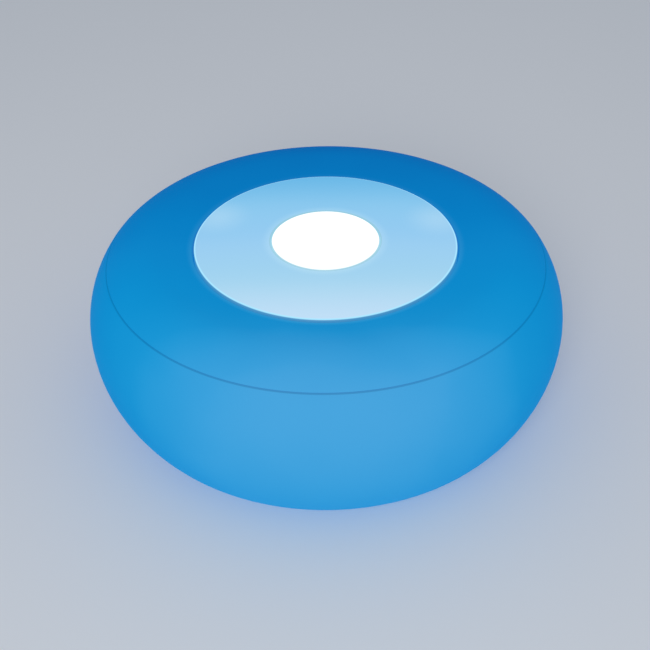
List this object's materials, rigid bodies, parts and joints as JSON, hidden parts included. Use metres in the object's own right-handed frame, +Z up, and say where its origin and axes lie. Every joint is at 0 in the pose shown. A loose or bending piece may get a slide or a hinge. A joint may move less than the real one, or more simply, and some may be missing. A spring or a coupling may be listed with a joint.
{
  "type": "bluetooth audio receiver",
  "caption": "Round light-up Bluetooth audio receiver: squat translucent shell, frosted lens and lit push button on top, rear charge and audio sockets, battery inside.",
  "frame": {"origin": "on the table under the middle of the body, level with the underside of the foot ring", "axes": "+Z up along the body's axis, +Y towards the socket panel at the back, +X to the right seen from the front"},
  "size_m": [0.12, 0.1199, 0.0455],
  "materials": {
    "opal_shell": "opal translucent moulding, fine satin texture, lit blue from inside",
    "frosted_lens": "frosted lens, lit pale blue from below",
    "lit_button": "white diffusing button, lit white from below",
    "foot_silicone": "matt silicone",
    "panel_plastic": "fine matt moulding",
    "white_plastic": "white reflecting moulding",
    "black_plastic": "fine matt moulding",
    "plated_steel": "nickel-plated, satin",
    "spring_steel": "drawn wire",
    "aluminium_can": "satin can",
    "board_green": "solder mask over glass laminate",
    "board_white": "white solder mask",
    "chip_epoxy": "moulded epoxy",
    "grey_ceramic": "sintered ferrite and ceramic",
    "battery_foil": "laminated pouch foil",
    "connector_nylon": "natural nylon",
    "ribbon_film": "polyimide film",
    "red_insulation": "silicone wire insulation",
    "black_insulation": "silicone wire insulation",
    "led_lens": "encapsulated light source"
  },
  "bodies": {
    "body": {"lower_shell": "opal_shell", "upper_shell": "opal_shell", "top_lens": "frosted_lens", "foot_ring": "foot_silicone", "port_panel": "panel_plastic", "charge_socket": "plated_steel", "audio_jack": "black_plastic", "chassis": "white_plastic", "core_cover": "white_plastic", "battery_pack": "battery_foil", "battery_socket": "connector_nylon", "battery_plug": "connector_nylon", "battery_lead_red": "red_insulation", "battery_lead_black": "black_insulation", "main_board": "board_green", "radio_module": "board_green", "module_shield": "plated_steel", "chip_antenna": "grey_ceramic", "audio_dac": "chip_epoxy", "charge_chip": "chip_epoxy", "led_driver": "chip_epoxy", "power_inductor": "grey_ceramic", "output_capacitor_1": "aluminium_can", "output_capacitor_2": "aluminium_can", "main_ribbon_socket": "connector_nylon", "led_ribbon_socket": "connector_nylon", "led_ribbon": "ribbon_film", "led_board": "board_white", "light_well": "white_plastic", "switch_body": "black_plastic", "button_spring": "spring_steel", "side_led_strip": "board_white", "slide_switch_body": "black_plastic", "button_led_1": "led_lens", "button_led_2": "led_lens", "button_led_3": "led_lens", "button_led_4": "led_lens", "lens_led_1": "led_lens", "lens_led_2": "led_lens", "lens_led_3": "led_lens", "lens_led_4": "led_lens", "side_led_1": "led_lens", "side_led_2": "led_lens", "side_led_3": "led_lens", "side_led_4": "led_lens", "side_led_5": "led_lens", "side_led_6": "led_lens", "base_screw_1": "plated_steel", "base_screw_2": "plated_steel", "base_screw_3": "plated_steel", "board_screw_1": "plated_steel", "board_screw_2": "plated_steel", "board_screw_3": "plated_steel", "board_screw_4": "plated_steel", "led_board_screw_1": "plated_steel", "led_board_screw_2": "plated_steel"},
    "button": {"power_button": "lit_button", "switch_plunger": "connector_nylon"},
    "power_switch": {"slide_switch_knob": "white_plastic"}
  },
  "joints": [
    {"name": "button_press", "type": "slide", "parent": "body", "child": "button", "axis": [0, 0, -1], "range_m": [0, 0.0008], "stiffness_N_per_m": 1500, "deforming": ["button_spring"]},
    {"name": "switch_slide", "type": "slide", "parent": "body", "child": "power_switch", "axis": [1, 0, 0], "range_m": [0, 0.002]}
  ]
}
